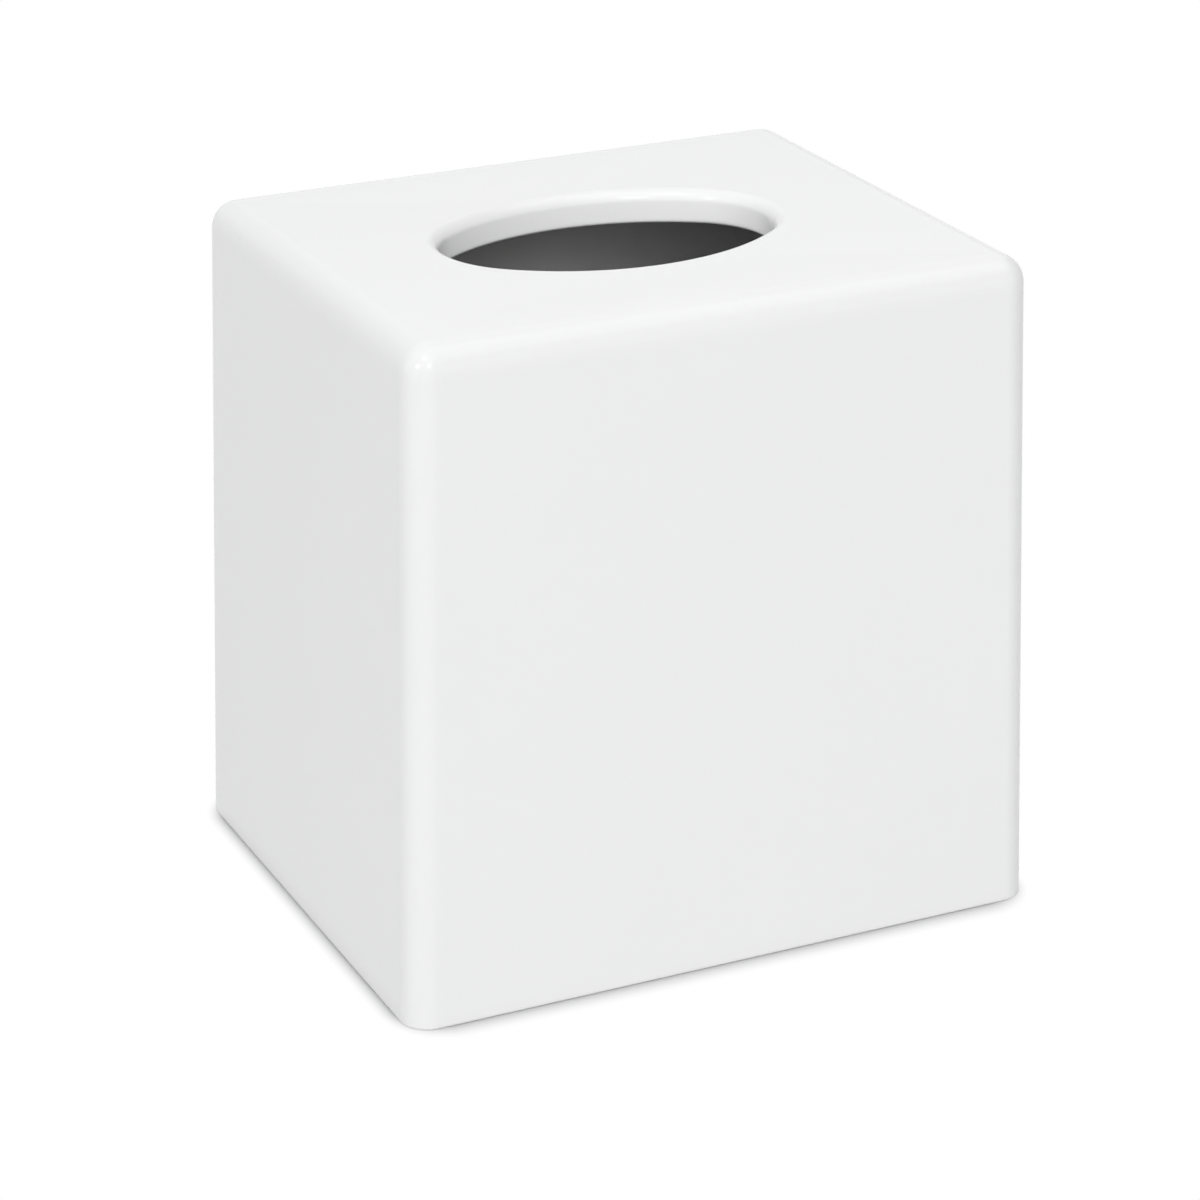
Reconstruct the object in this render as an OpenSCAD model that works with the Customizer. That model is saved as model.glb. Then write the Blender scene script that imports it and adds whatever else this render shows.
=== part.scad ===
/* [Outside] */
// Height from the table to the top face
height = 155; // [140:1:175]
// Width of the base, across the front
base_w = 156; // [140:1:175]
// Depth of the base, from front to back
base_d = 129; // [122:1:150]
// Lean of the left and right walls from upright, in degrees
side_draft = 1.6; // [0.5:0.1:2.5]
// Lean of the front and back walls from upright, in degrees
front_draft = 1.2; // [0.5:0.1:2]
// Radius of the four upright edges and the four top edges
edge_r = 6.4; // [5.5:0.1:9]

/* [Walls] */
// Thickness of the four upright walls
wall = 5; // [3:0.5:6]
// Thickness of the top
top_t = 7.8; // [6:0.1:10]
// Radius of the cavity's inside corners
inner_r = 2; // [1:0.5:4]

/* [Opening] */
// Length of the oval opening, along the width
opening_l = 79; // [60:1:100]
// Width of the oval opening, from front to back
opening_w = 53; // [35:1:56]
// Radius of the rounded lip round the opening
lip_r = 2.7; // [1:0.1:5.5]

/* [Hidden] */
$fn = 96;
// Smoothness of the outside edges and of the cavity's corners
outer_facets = 48;
inner_facets = 24;
// How far a cutting shape runs past the face that it cuts
over = 2;
// Thickness of the thin discs that the upright edges stand on, below the base plane
foot_t = 0.01;

// The oval is four arcs that meet smoothly: two at the ends and two along the sides.
// The centres of an end arc and of a side arc and the oval's middle make a 3-4-5 triangle,
// so that the arcs meet on planes with whole-number slopes.
half_l = opening_l / 2;
half_w = opening_w / 2;
unit = (half_l - half_w) / 2;
end_centre = 3 * unit;
side_centre = 4 * unit;
end_r = half_w - unit;
side_r = end_r + 5 * unit;
// A point on the plane where two arcs meet, seen from either centre and well past the lip
seam_point = [60, 80];

// Half of a size that is measured at the base, at a height above it, on a leaning wall
function half_at(size, draft, z) = size / 2 - z * tan(draft);

// A ball with a point at its very top, so that what is drawn over it reaches its full height
module ball(r, facets) {
    rotate_extrude($fn = facets)
        intersection() {
            circle(r, $fn = facets);
            translate([0, -r])
                square([r, 2 * r]);
        }
}

// A block that narrows upwards, with one radius on its upright and top edges.
// It runs a little below the base plane, where the cover is cut flat.
module drafted_block(w, d, h, r, facets) {
    shoulder = h - r;
    hull()
        for (side = [-1, 1], end = [-1, 1]) {
            translate([
                side * (half_at(w, side_draft, shoulder) - r),
                end * (half_at(d, front_draft, shoulder) - r),
                shoulder
            ])
                ball(r, facets);
            translate([
                side * (half_at(w, side_draft, -over) - r),
                end * (half_at(d, front_draft, -over) - r),
                -over
            ])
                cylinder(r = r, h = foot_t, $fn = facets);
        }
}

// Section of what is cut away at the opening: upright below, flaring out over the lip's round.
// arc_r is the arc's radius, and inner is where the section starts.
module lip_section(arc_r, inner) {
    bottom = height - top_t - over;
    difference() {
        translate([inner, bottom])
            square([arc_r + lip_r - inner, top_t + 2 * over]);
        translate([arc_r, bottom - over])
            square([lip_r + over, top_t + 2 * over - lip_r]);
        translate([arc_r + lip_r, height - lip_r])
            circle(lip_r);
    }
}

// Upright prism between two seam planes: its point lies at an arc's centre
module between_seams(points) {
    translate([0, 0, height - 2 * top_t])
        linear_extrude(3 * top_t)
            polygon(points);
}

// The oval opening: each arc's section turned about that arc's own centre, up to the seams
module opening() {
    for (turn = [0, 180])
        rotate([0, 0, turn]) {
            translate([end_centre, 0, 0])
                intersection() {
                    rotate_extrude()
                        lip_section(end_r, 0);
                    between_seams([[0, 0], [seam_point.x, -seam_point.y], seam_point]);
                }
            translate([0, -side_centre, 0])
                intersection() {
                    rotate_extrude()
                        lip_section(side_r, side_centre - over);
                    between_seams([[0, 0], seam_point, [-seam_point.x, seam_point.y]]);
                }
        }
}

// The whole cover: one moulded shell, closed on top but for the opening and open underneath
module cover() {
    color("white")
        difference() {
            drafted_block(base_w, base_d, height, edge_r, outer_facets);
            drafted_block(base_w - 2 * wall, base_d - 2 * wall, height - top_t, inner_r, inner_facets);
            translate([-base_w, -base_d, -2 * over])
                cube([2 * base_w, 2 * base_d, 2 * over]);
            opening();
        }
}

cover();
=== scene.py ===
import math

import bpy
from mathutils import Matrix, Vector


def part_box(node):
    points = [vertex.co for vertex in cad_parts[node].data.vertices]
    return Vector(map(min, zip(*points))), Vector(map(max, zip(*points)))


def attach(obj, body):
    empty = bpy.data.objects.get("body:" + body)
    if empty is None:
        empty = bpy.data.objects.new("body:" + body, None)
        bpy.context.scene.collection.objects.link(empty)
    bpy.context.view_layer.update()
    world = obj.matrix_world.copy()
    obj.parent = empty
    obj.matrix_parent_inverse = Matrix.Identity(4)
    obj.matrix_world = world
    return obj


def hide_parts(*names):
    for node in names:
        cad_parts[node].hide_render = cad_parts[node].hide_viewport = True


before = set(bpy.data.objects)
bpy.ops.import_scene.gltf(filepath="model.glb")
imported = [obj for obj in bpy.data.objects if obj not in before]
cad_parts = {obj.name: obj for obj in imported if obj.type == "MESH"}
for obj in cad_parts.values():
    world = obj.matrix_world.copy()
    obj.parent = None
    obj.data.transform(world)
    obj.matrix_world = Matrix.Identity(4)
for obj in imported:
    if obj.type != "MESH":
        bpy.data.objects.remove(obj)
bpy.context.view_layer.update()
cover_low, cover_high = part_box("cover")

# Sizes of the cover, in metres. The outside ones come from the cover's part in model.glb.
HEIGHT = cover_high.z
WIDTH = cover_high.x - cover_low.x
DEPTH = cover_high.y - cover_low.y
SIDE_LEAN = math.radians(1.6)
FRONT_LEAN = math.radians(1.2)
EDGE_RADIUS = 0.0064
WALL = 0.005
TOP_THICKNESS = 0.0078
CAVITY_RADIUS = 0.002
OPENING_LENGTH = 0.079
OPENING_WIDTH = 0.053
LIP_RADIUS = 0.0027
# Radius of the foot's small rounds, and of the round at the lower edge of the opening's wall
FOOT_ROUND = 0.0005
UNDER_ROUND = 0.0008
# How far the top sinks towards the opening, as a moulded sheet does when it cools: in the
# middle of the opening's long sides, and at its ends
TOP_SINK = 0.0006
END_SINK = 0.0002

# How finely the cover is drawn round its outline: steps on each corner and on each side
CORNER_STEPS = 16
SIDE_STEPS = 36
# Where strips meet, points closer than this become one
SEAM_GAP = 2e-6

# The camera as fitted to the photograph: angles in radians, its place (across, up and away
# along its own axes) in heights of the cover, and the rest in pixels of the whole image.
# The sensor's width is in millimetres.
CAMERA_YAW = -0.4206457
CAMERA_PITCH = 0.3970234
CAMERA_ROLL = -0.0093460
CAMERA_PLACE = (-0.1353586, 0.3825972, 5.8784027)
FOCAL_PIXELS = 3804.7787
IMAGE_PIXELS = 1200
SHIFT_PIXELS = 80
SENSOR_WIDTH = 36.0
NEAREST_SEEN = 0.01

# The shell's faintest and fullest white, and how far it lies towards the fullest one: a
# share that holds everywhere, what the clouding adds, the painted light that makes the
# front and the bottom whiter, and the painted shade and light of the rounds and the wall
FAINT_WHITE = (0.799, 0.799, 0.801, 1.0)
FULL_WHITE = (0.949, 0.949, 0.951, 1.0)
PLAIN_SHARE = 0.40
CLOUD_SHARE = 0.09
PAINTED_FRONT_LIGHT = 0.23
PAINTED_BOTTOM_LIGHT = 0.14
PAINTED_SHADING_SHARE = 0.5
# Painted shade in the middle of a top round, of the lip's round and of an upright edge. It is
# 1, painted light, on the opening's wall and 0 on flat faces.
TOP_ROUND_PAINTED_SHADE = -1.25
LIP_ROUND_PAINTED_SHADE = -1.0
UPRIGHT_PAINTED_SHADE = -0.35

# The cavity's two greys, painted shade on its left and painted light on its right: where
# along the width the lighter one starts to show, how fast it comes up from there, and how
# much the clouding adds
DARK_CAVITY = (0.36, 0.36, 0.36, 1.0)
LIGHT_CAVITY = (0.66, 0.66, 0.66, 1.0)
PAINTED_LIGHT_START = 0.25
PAINTED_LIGHT_RISE = 1.2
CAVITY_CLOUDS = 0.4

# The clouding, the fine grain and the long waves of a moulded surface: how closely each is
# packed, how many finer layers it has and how strong they are
CLOUDS = (28.0, 3.0, 0.55)
GRAIN = (420.0, 2.0, 0.5)
WAVES = (14.0, 1.0, 0.5)
# Roughness of the gloss and of the cavity, and what the clouding and the grain add to them
GLOSS_ROUGHNESS = 0.04
CLOUD_ROUGHNESS = 0.03
CAVITY_ROUGHNESS = 0.45
GRAIN_ROUGHNESS = 0.1
# How much the waves, and the grain outside and in the cavity, count in the relief, and how
# strong and how deep the relief is
WAVE_RELIEF = 0.6
GLOSS_GRAIN = 0.01
CAVITY_GRAIN = 0.15
RELIEF_STRENGTH = 0.05
RELIEF_DEPTH = 0.001
REFRACTION = 1.5

# The floor as the camera sees it close to the cover's foot, a grey of painted shadow that the
# real shadow also falls on, and as it throws light back
PAINTED_SHADOW_COLOUR = (0.60, 0.60, 0.60, 1.0)
FLOOR_COLOUR = (0.35, 0.35, 0.35, 1.0)
# How far from the foot the floor shows its painted shadow, in front of it and beside it; how
# steeply the painted shadow fades; and the corner radius of the outline that it fades from,
# which is larger than the cover's own so that little shows round the corners
FRONT_REACH = 0.0060
SIDE_REACH = 0.0037
SHADOW_FALL = 1.7
SHADOW_CORNER = 0.012
# From the middle of the floor to its edge, and which way each of its corners lies
FLOOR_REACH = 2.0
FLOOR_CORNERS = [(-1, -1), (1, -1), (1, 1), (-1, 1)]

# The backdrop as the camera sees it, and as it throws light from all round
PURE_WHITE = (1.0, 1.0, 1.0, 1.0)
SKY_LEVEL = 0.41
SKY_COLOUR = (0.985, 0.99, 1.0, 1.0)
# Soft boxes stand this far from the middle of the cover. Each has a name, an azimuth and an
# elevation in degrees, a width and a height in metres and a power in watts, and says
# whether it lights the cover and whether the gloss shows it.
LAMP_DISTANCE = 4.0
LAMPS = [
    ("front_box", -10.0, 30.0, 5.0, 3.0, 100.0, True, False),
    ("left_box", -61.5, 29.4, 0.9, 0.9, 12.0, True, True),
    ("right_box", -13.0, 34.5, 0.9, 0.9, 10.0, True, True),
    ("high_box", -36.0, 61.0, 1.0, 1.0, 5.0, True, True),
    ("low_left_box", -80.0, 12.0, 2.5, 1.0, 17.0, True, False),
    ("far_left_box", -115.0, 35.0, 1.5, 1.5, 22.0, True, False),
    ("back_box", 160.0, 45.0, 1.5, 1.5, 22.0, True, False),
    ("top_box", 0.0, 88.0, 2.5, 2.5, 7.5, True, False),
    ("window_box", 31.0, 68.0, 5.0, 3.4, 44.0, False, True),
]


class Signal:
    """An output socket of a node tree. Arithmetic on it adds Math nodes to that tree."""

    def __init__(self, board, socket):
        self.board = board
        self.socket = socket

    def out(self, name):
        """Another output of the same node."""
        return Signal(self.board, self.socket.node.outputs[name])

    def math(self, operation, *values):
        return self.board.math(operation, *values)

    def __add__(self, other):
        return self.math("ADD", self, other)

    def __radd__(self, other):
        return self.math("ADD", other, self)

    def __sub__(self, other):
        return self.math("SUBTRACT", self, other)

    def __rsub__(self, other):
        return self.math("SUBTRACT", other, self)

    def __mul__(self, other):
        return self.math("MULTIPLY", self, other)

    def __rmul__(self, other):
        return self.math("MULTIPLY", other, self)

    def __truediv__(self, other):
        return self.math("DIVIDE", self, other)

    def __rtruediv__(self, other):
        return self.math("DIVIDE", other, self)

    def __gt__(self, other):
        return self.math("GREATER_THAN", self, other)

    def __abs__(self):
        return self.math("ABSOLUTE", self)


class Board:
    """A node tree that is being wired up."""

    def __init__(self, tree):
        self.tree = tree

    def add(self, kind, settings=None, inputs=None, output=0):
        """Adds a node: first its settings, then a value or a link for each socket."""
        made = self.tree.nodes.new(kind)
        for name, value in (settings or {}).items():
            setattr(made, name, value)
        for key, value in (inputs or {}).items():
            socket = self.find(made.inputs, key)
            for item in value if isinstance(value, list) else [value]:
                if isinstance(item, Signal):
                    self.tree.links.new(item.socket, socket)
                else:
                    socket.default_value = item
        if not made.outputs:
            return made
        return Signal(self, self.find(made.outputs, output))

    @staticmethod
    def find(sockets, key):
        """A socket by its place, or the one in use that has that name."""
        if isinstance(key, int):
            return sockets[key]
        return next(socket for socket in sockets if socket.name == key and socket.enabled)

    def math(self, operation, *values):
        return self.add("ShaderNodeMath", {"operation": operation}, dict(enumerate(values)))

    def sine(self, angle):
        """The sine of an angle, worked out here if the angle is a plain number."""
        return self.math("SINE", angle) if isinstance(angle, Signal) else math.sin(angle)

    def cosine(self, angle):
        """The cosine of an angle, worked out here if the angle is a plain number."""
        return self.math("COSINE", angle) if isinstance(angle, Signal) else math.cos(angle)

    def vector(self, x, y, z):
        return self.add("ShaderNodeCombineXYZ", None, {"X": x, "Y": y, "Z": z})


def mix(start, end, share):
    """The value at a share of the way from start to end."""
    return start + (end - start) * share


def eased(board, share):
    """Steps that are short near both ends and long between them."""
    return 0.5 - board.cosine(share * math.pi) * 0.5


# The cover's mesh

COVER_SIZES = {
    "Height": HEIGHT,
    "Width": WIDTH,
    "Depth": DEPTH,
    "Side Lean": SIDE_LEAN,
    "Front Lean": FRONT_LEAN,
    "Edge Radius": EDGE_RADIUS,
    "Wall": WALL,
    "Top Thickness": TOP_THICKNESS,
    "Cavity Radius": CAVITY_RADIUS,
    "Opening Length": OPENING_LENGTH,
    "Opening Width": OPENING_WIDTH,
    "Lip Radius": LIP_RADIUS,
    "Foot Round": FOOT_ROUND,
    "Under Round": UNDER_ROUND,
    "Top Sink": TOP_SINK,
    "End Sink": END_SINK,
}


def shell_tree():
    """The cover as one closed skin: strips run round it, from the foot up the outside,
    over the lip, back along the ceiling and down the cavity to the foot again."""
    tree = bpy.data.node_groups.new("cover_shell", "GeometryNodeTree")
    tree.interface.new_socket("Geometry", in_out="OUTPUT", socket_type="NodeSocketGeometry")
    for name in COVER_SIZES:
        tree.interface.new_socket(name, in_out="INPUT", socket_type="NodeSocketFloat")
    tree.interface.new_socket("Finish", in_out="INPUT", socket_type="NodeSocketMaterial")
    board = Board(tree)
    given = board.add("NodeGroupInput")
    size = {name: given.out(name) for name in COVER_SIZES}
    side_slope = board.math("TANGENT", size["Side Lean"])
    front_slope = board.math("TANGENT", size["Front Lean"])

    # Each strip starts as a flat sheet of side one. Across it runs the way round the cover,
    # in four quarters of a corner and a side, and along it the way from one edge to the next.
    ring = 4 * (CORNER_STEPS + SIDE_STEPS)
    sheet = board.add("ShaderNodeSeparateXYZ", None, {0: board.add("GeometryNodeInputPosition")})
    across = board.math("ROUND", (sheet.out("X") + 0.5) * ring)
    along = sheet.out("Y") + 0.5
    quarter = board.math("FLOOR", across / (ring / 4))
    step = across - quarter * (ring / 4)
    on_corner = board.math("MINIMUM", step / CORNER_STEPS, 1)
    on_side = eased(board, board.math("MAXIMUM", (step - CORNER_STEPS) / SIDE_STEPS, 0))
    facing = (quarter + on_corner) * (math.pi / 2)
    face_x = board.cosine(facing)
    face_y = board.sine(facing)
    # The quarter's corner, as -1 or 1 on each axis, and the way from it to the next one
    corner = quarter * (math.pi / 2) + math.pi / 4
    corner_x = board.cosine(corner) * math.sqrt(2)
    corner_y = board.sine(corner) * math.sqrt(2)
    share_x = mix(corner_x, 0 - corner_y, on_side)
    share_y = mix(corner_y, corner_x, on_side)
    # How far up a leaning wall faces, as an angle
    wall_tilt = abs(face_x) * side_slope + abs(face_y) * front_slope

    # The oval is four arcs; the centres of two that meet and the middle make a 3-4-5 triangle.
    unit = (size["Opening Length"] - size["Opening Width"]) / 4
    end_radius = size["Opening Width"] / 2 - unit
    side_radius = end_radius + unit * 5
    end_angle = math.atan2(4, 3)
    side_angle = math.pi / 2 - end_angle
    end_share = end_radius * end_angle / (end_radius * end_angle + side_radius * side_angle)
    # The turn is a share of the whole way round; the fold runs from 0 at the oval's ends to
    # 1 in the middle of its long sides, and the swing is the angle that an arc faces there.
    turn = (across - CORNER_STEPS / 2) / ring + 1 / 8
    fold = board.math("PINGPONG", turn * 4, 1)
    on_long = fold > end_share
    swing = (
        board.math("MINIMUM", fold / end_share, 1) * end_angle
        + board.math("MAXIMUM", (fold - end_share) / (1 - end_share), 0) * side_angle
    )
    arc_radius = mix(end_radius, side_radius, on_long)
    arc_x = unit * 3 * (1 - on_long)
    arc_y = unit * -4 * on_long
    half_x = board.math("SIGN", board.cosine(turn * (2 * math.pi)))
    half_y = board.math("SIGN", board.sine(turn * (2 * math.pi)))
    swing_x = board.cosine(swing)
    swing_y = board.sine(swing)
    lengthways = (arc_x + swing_x * arc_radius) / (size["Opening Length"] / 2)
    sunk = mix(size["Top Sink"], size["End Sink"], lengthways * lengthways)

    def block_point(width, depth, level, radius, reach, z):
        """A point round a leaning block. Its corners have their centres where a radius fits
        at that level, and reach is how far out from those centres the point lies."""
        centre_x = width / 2 - level * side_slope - radius
        centre_y = depth / 2 - level * front_slope - radius
        return (share_x * centre_x + face_x * reach, share_y * centre_y + face_y * reach, z)

    def oval_point(offset, z):
        """A point at an offset outside the oval, sunk with the top."""
        reach = arc_radius + offset
        return (
            half_x * (arc_x + swing_x * reach),
            half_y * (arc_y + swing_y * reach),
            z - sunk,
        )

    def between(start, end, share):
        """A point on the straight line between two others."""
        return tuple(mix(a, b, share) for a, b in zip(start, end))

    def sagging(start, end, share):
        """A point between two others on a surface that is level where it meets each of them."""
        x, y, _ = between(start, end, share)
        return (x, y, mix(start[2], end[2], share * share * (3 - share * 2)))

    height = size["Height"]
    edge = size["Edge Radius"]
    lip = size["Lip Radius"]
    under = size["Under Round"]
    foot = size["Foot Round"]
    cavity_edge = size["Cavity Radius"]
    cavity_width = size["Width"] - size["Wall"] * 2
    cavity_depth = size["Depth"] - size["Wall"] * 2
    ceiling = height - size["Top Thickness"]
    shoulder = height - edge
    cavity_shoulder = ceiling - cavity_edge

    def rounded_top(width, depth, level, radius, angle):
        """A point on the round between a block's walls and its top, at an angle up it."""
        out = board.cosine(angle) * radius
        rise = board.sine(angle) * radius
        return block_point(width, depth, level, radius, out, level + rise)

    def outside_round(angle):
        return rounded_top(size["Width"], size["Depth"], shoulder, edge, angle)

    def cavity_round(angle):
        return rounded_top(cavity_width, cavity_depth, cavity_shoulder, cavity_edge, angle)

    def foot_round(angle):
        """The small round at the bottom of the outside."""
        out = edge - foot + board.cosine(angle) * foot
        rise = foot + board.sine(angle) * foot
        return block_point(size["Width"], size["Depth"], foot, edge, out, rise)

    def mouth_round(angle):
        """The small round at the bottom of the cavity."""
        out = cavity_edge + foot - board.cosine(angle) * foot
        rise = foot - board.sine(angle) * foot
        return block_point(cavity_width, cavity_depth, foot, cavity_edge, out, rise)

    def lip_round(angle):
        """The lip's round: from level with the top to upright, at the opening's wall."""
        out = lip - board.sine(angle) * lip
        rise = height - lip + board.cosine(angle) * lip
        return oval_point(out, rise)

    def under_round(angle):
        """The round at the wall's lower edge: from upright to level with the ceiling."""
        out = under - board.cosine(angle) * under
        rise = ceiling + under - board.sine(angle) * under
        return oval_point(out, rise)

    right_angle = math.pi / 2
    ease = eased(board, along)
    # Painted shade makes the white a little fainter on the rounds, most of all in their middle.
    # On an upright edge that fades out over the top round, and painted light makes the lip grow
    # whiter inwards.
    round_middle = board.sine(along * math.pi)
    upright_painted_shade = board.sine(on_corner * math.pi) * UPRIGHT_PAINTED_SHADE
    top_painted_shade = mix(upright_painted_shade, 0, along) + round_middle * TOP_ROUND_PAINTED_SHADE
    lip_painted_shading = round_middle * LIP_ROUND_PAINTED_SHADE + along
    strips = [
        # rows, share of the cavity's finish, painted shade or light on the white, points
        (4, 0, 0, foot_round(mix(-right_angle, wall_tilt, along))),
        (28, 0, upright_painted_shade, between(foot_round(wall_tilt), outside_round(wall_tilt), ease)),
        (16, 0, top_painted_shade, outside_round(mix(wall_tilt, right_angle, along))),
        (14, 0, 0, sagging(outside_round(right_angle), lip_round(0), ease)),
        (12, 0, lip_painted_shading, lip_round(right_angle * along)),
        (4, 0, 1, between(lip_round(right_angle), under_round(0), ease)),
        (4, along, 1, under_round(right_angle * along)),
        (10, 1, 0, sagging(under_round(right_angle), cavity_round(right_angle), ease)),
        (8, 1, 0, cavity_round(mix(right_angle, wall_tilt, along))),
        (16, 1, 0, between(cavity_round(wall_tilt), mouth_round(0), ease)),
        (4, 1 - along, 0, mouth_round(right_angle * along)),
        (3, 0, 0, between(mouth_round(right_angle), foot_round(-right_angle), along)),
    ]
    parts = []
    for rows, inside, tone, point in strips:
        flat = board.add(
            "GeometryNodeMeshGrid",
            None,
            {"Size X": 1.0, "Size Y": 1.0, "Vertices X": ring + 1, "Vertices Y": rows + 1},
        )
        marked = board.add(
            "GeometryNodeStoreNamedAttribute",
            {"data_type": "FLOAT", "domain": "POINT"},
            {"Geometry": flat, "Name": "inside", "Value": inside},
        )
        toned = board.add(
            "GeometryNodeStoreNamedAttribute",
            {"data_type": "FLOAT", "domain": "POINT"},
            {"Geometry": marked, "Name": "tone", "Value": tone},
        )
        bent = board.add(
            "GeometryNodeSetPosition",
            None,
            {"Geometry": toned, "Position": board.vector(*point)},
        )
        parts.append(bent)
    joined = board.add("GeometryNodeJoinGeometry", None, {"Geometry": parts})
    closed = board.add(
        "GeometryNodeMergeByDistance", None, {"Geometry": joined, "Distance": SEAM_GAP}
    )
    smooth = board.add("GeometryNodeSetShadeSmooth", None, {"Geometry": closed})
    plain = board.add("GeometryNodeRealizeInstances", None, {"Geometry": smooth})
    finished = board.add(
        "GeometryNodeSetMaterial", None, {"Geometry": plain, "Material": given.out("Finish")}
    )
    board.add("NodeGroupOutput", None, {"Geometry": finished})
    return tree


def plain_mesh(name, tree, values):
    """Runs a tree once and keeps its result as an ordinary mesh object."""
    holder = bpy.data.objects.new(name, bpy.data.meshes.new(name))
    bpy.context.scene.collection.objects.link(holder)
    modifier = holder.modifiers.new("shape", "NODES")
    modifier.node_group = tree
    for item in tree.interface.items_tree:
        if item.item_type == "SOCKET" and item.in_out == "INPUT":
            modifier[item.identifier] = values[item.name]
    depsgraph = bpy.context.evaluated_depsgraph_get()
    shaped = holder.evaluated_get(depsgraph)
    result = bpy.data.meshes.new_from_object(shaped, depsgraph=depsgraph)
    holder.modifiers.clear()
    holder.data = result
    result.name = name
    # Empty slots go, so that the finish is the only one
    for index in reversed(range(len(result.materials))):
        if result.materials[index] is None:
            result.materials.pop(index=index)
    return holder


# Finishes


def new_material(name):
    material = bpy.data.materials.new(name)
    material.use_nodes = True
    material.node_tree.nodes.clear()
    return material, Board(material.node_tree)


def noise(board, place, scale, detail, roughness):
    """A soft random pattern, from about 0 to about 1."""
    return board.add(
        "ShaderNodeTexNoise",
        None,
        {"Vector": place, "Scale": scale, "Detail": detail, "Roughness": roughness},
    )


def blend(board, share, start, end):
    """A colour at a share of the way from start to end."""
    return board.add(
        "ShaderNodeMix",
        {"data_type": "RGBA"},
        {"Factor": share, "A": start, "B": end},
        output="Result",
    )


def gloss_shell_finish():
    """White gloss outside, with the faint waves and clouding of a moulded piece, and painted
    light that whitens it towards the front and the bottom, painted shade on its rounds and
    painted light on the opening's wall. The cavity is left as it came from the mould: greyer and
    duller, with painted shade on its left and painted light on its right."""
    material, board = new_material("gloss_white_shell")
    place = board.add("ShaderNodeTexCoord", output="Object")
    clouds = noise(board, place, *CLOUDS)
    grain = noise(board, place, *GRAIN)
    waves = noise(board, place, *WAVES)
    inside = board.add("ShaderNodeAttribute", {"attribute_name": "inside"}, output="Fac")
    # Painted shade on the rounds and painted light on the opening's wall, as stored with the
    # mesh
    tone = board.add("ShaderNodeAttribute", {"attribute_name": "tone"}, output="Fac")
    split = board.add("ShaderNodeSeparateXYZ", None, {0: place})
    forward = 0.5 - split.out("Y") / DEPTH
    downward = 1 - split.out("Z") / HEIGHT
    rightward = 0.5 + split.out("X") / WIDTH
    # Painted light: the white is lighter towards the front and the bottom, and the rounds and
    # the opening's wall carry painted shade and light
    whiteness_and_painted_light = (
        PLAIN_SHARE
        + clouds * CLOUD_SHARE
        + forward * PAINTED_FRONT_LIGHT
        + downward * PAINTED_BOTTOM_LIGHT
        + tone * PAINTED_SHADING_SHARE
    )
    white = blend(board, whiteness_and_painted_light, FAINT_WHITE, FULL_WHITE)
    # Painted shade and light: the cavity's grey comes up from left to right, with clouding on
    # top
    cavity_clouds_and_painted_light = clouds * CAVITY_CLOUDS + (rightward - PAINTED_LIGHT_START) * PAINTED_LIGHT_RISE
    dull = blend(board, cavity_clouds_and_painted_light, DARK_CAVITY, LIGHT_CAVITY)
    colour = blend(board, inside, white, dull)
    gloss_roughness = GLOSS_ROUGHNESS + clouds * CLOUD_ROUGHNESS
    cavity_roughness = CAVITY_ROUGHNESS + grain * GRAIN_ROUGHNESS
    roughness = mix(gloss_roughness, cavity_roughness, inside)
    relief = waves * WAVE_RELIEF + grain * mix(GLOSS_GRAIN, CAVITY_GRAIN, inside)
    bump = board.add(
        "ShaderNodeBump",
        None,
        {"Strength": RELIEF_STRENGTH, "Distance": RELIEF_DEPTH, "Height": relief},
    )
    shell = board.add(
        "ShaderNodeBsdfPrincipled",
        None,
        {"Base Color": colour, "Roughness": roughness, "IOR": REFRACTION, "Normal": bump},
    )
    board.add("ShaderNodeOutputMaterial", None, {"Surface": shell})
    return material


def seen_directly(board):
    """1 for what the camera sees, also in gloss and through glass; 0 for light on its way."""
    path = board.add("ShaderNodeLightPath", output="Is Camera Ray")
    seen = board.math("MAXIMUM", path, path.out("Is Glossy Ray"))
    return board.math("MAXIMUM", seen, path.out("Is Transmission Ray"))


def floor_finish():
    """Plain pale floor. It is seen as white, except close to the cover's foot, where a painted
    shadow of darker grey fades out with the distance from the foot, and the real light and
    shadow on it show too."""
    material, board = new_material("pale_floor")
    place = board.add("ShaderNodeTexCoord", output="Object")
    split = board.add("ShaderNodeSeparateXYZ", None, {0: place})
    past_x = board.math("MAXIMUM", abs(split.out("X")) - (WIDTH / 2 - SHADOW_CORNER), 0)
    past_y = board.math("MAXIMUM", abs(split.out("Y")) - (DEPTH / 2 - SHADOW_CORNER), 0)
    square = past_x * past_x + past_y * past_y
    away = board.math("SQRT", square) - SHADOW_CORNER
    # The tiny number keeps the middle, where both are 0, from a division by 0
    sideways = past_x * past_x / (square + 1e-9)
    near = 1 - away / mix(FRONT_REACH, SIDE_REACH, sideways)
    near = board.math("MINIMUM", board.math("MAXIMUM", near, 0), 1)
    clear = 1 - board.math("POWER", near, SHADOW_FALL)
    bounce = board.add("ShaderNodeBsdfDiffuse", None, {"Color": FLOOR_COLOUR})
    # Painted shadow: close to the foot the camera sees this darker grey, lit by the lamps and
    # sky, which fades to white further out
    painted_and_real_shadow = board.add("ShaderNodeBsdfDiffuse", None, {"Color": PAINTED_SHADOW_COLOUR})
    white = board.add("ShaderNodeEmission", None, {"Color": PURE_WHITE, "Strength": 1.0})
    seen = board.add("ShaderNodeMixShader", None, {0: clear, 1: painted_and_real_shadow, 2: white})
    shown = board.add("ShaderNodeMixShader", None, {0: seen_directly(board), 1: bounce, 2: seen})
    board.add("ShaderNodeOutputMaterial", None, {"Surface": shown})
    return material


# The scene


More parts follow.
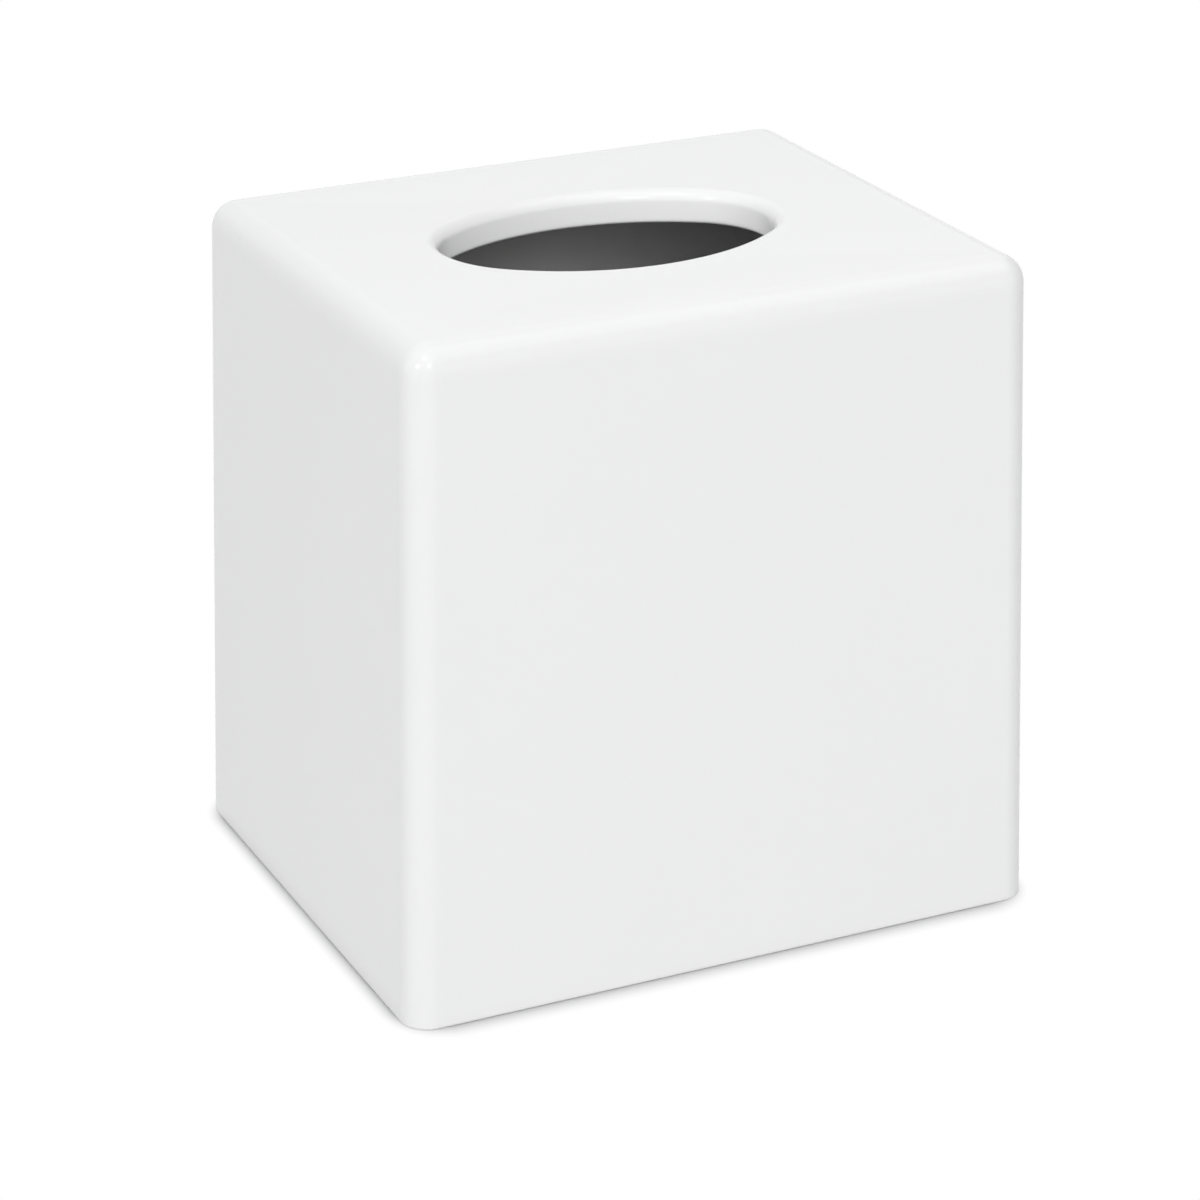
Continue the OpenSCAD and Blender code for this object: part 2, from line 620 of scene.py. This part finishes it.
def make_camera():
    """The camera stands where the photograph was taken from."""
    cos_yaw, sin_yaw = math.cos(CAMERA_YAW), math.sin(CAMERA_YAW)
    cos_pitch, sin_pitch = math.cos(CAMERA_PITCH), math.sin(CAMERA_PITCH)
    forward = Vector((-sin_yaw * cos_pitch, cos_yaw * cos_pitch, -sin_pitch))
    level_right = Vector((cos_yaw, sin_yaw, 0.0))
    level_up = level_right.cross(forward)
    cos_roll, sin_roll = math.cos(CAMERA_ROLL), math.sin(CAMERA_ROLL)
    right = level_right * cos_roll + level_up * sin_roll
    up = level_up * cos_roll - level_right * sin_roll
    across, above, away = (value * HEIGHT for value in CAMERA_PLACE)
    place = right * across + up * above - forward * away
    data = bpy.data.cameras.new("camera")
    data.sensor_width = SENSOR_WIDTH
    data.lens = FOCAL_PIXELS / IMAGE_PIXELS * SENSOR_WIDTH
    data.shift_x = SHIFT_PIXELS / IMAGE_PIXELS
    data.clip_start = NEAREST_SEEN
    camera = bpy.data.objects.new("camera", data)
    turned = Matrix((right, up, -forward)).transposed().to_4x4()
    camera.matrix_world = Matrix.Translation(place) @ turned
    bpy.context.scene.collection.objects.link(camera)
    bpy.context.scene.camera = camera


def soft_lamp(name, azimuth, elevation, width, height, power, lighting, mirrored):
    """A soft box that looks at the middle of the cover."""
    data = bpy.data.lights.new(name, "AREA")
    data.shape = "RECTANGLE"
    data.size = width
    data.size_y = height
    data.energy = power
    turn, lift = math.radians(azimuth), math.radians(elevation)
    back = Vector((
        math.sin(turn) * math.cos(lift), -math.cos(turn) * math.cos(lift), math.sin(lift)
    ))
    lamp = bpy.data.objects.new(name, data)
    lamp.location = Vector((0.0, 0.0, HEIGHT / 2)) + back * LAMP_DISTANCE
    lamp.visible_diffuse = lighting
    lamp.visible_glossy = mirrored
    lamp.rotation_mode = "QUATERNION"
    lamp.rotation_quaternion = (-back).to_track_quat("-Z", "Y")
    bpy.context.scene.collection.objects.link(lamp)


def make_sky():
    """Even light from all round, seen as white."""
    world = bpy.data.worlds.new("studio")
    world.use_nodes = True
    world.node_tree.nodes.clear()
    board = Board(world.node_tree)
    light = board.add("ShaderNodeBackground", None, {"Color": SKY_COLOUR, "Strength": SKY_LEVEL})
    white = board.add("ShaderNodeBackground", None, {"Color": PURE_WHITE, "Strength": 1.0})
    shown = board.add("ShaderNodeMixShader", None, {0: seen_directly(board), 1: light, 2: white})
    board.add("ShaderNodeOutputWorld", None, {"Surface": shown})
    bpy.context.scene.world = world


def make_floor():
    mesh = bpy.data.meshes.new("floor")
    corners = [(FLOOR_REACH * x, FLOOR_REACH * y, 0) for x, y in FLOOR_CORNERS]
    mesh.from_pydata(corners, [], [(0, 1, 2, 3)])
    mesh.materials.append(floor_finish())
    floor = bpy.data.objects.new("floor", mesh)
    bpy.context.scene.collection.objects.link(floor)


bpy.context.scene.view_settings.view_transform = "Standard"

cover = plain_mesh(
    "cover_shell", shell_tree(), {**COVER_SIZES, "Finish": gloss_shell_finish()}
)
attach(cover, "root")
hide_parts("cover")

make_floor()
make_sky()
for lamp in LAMPS:
    soft_lamp(*lamp)
make_camera()
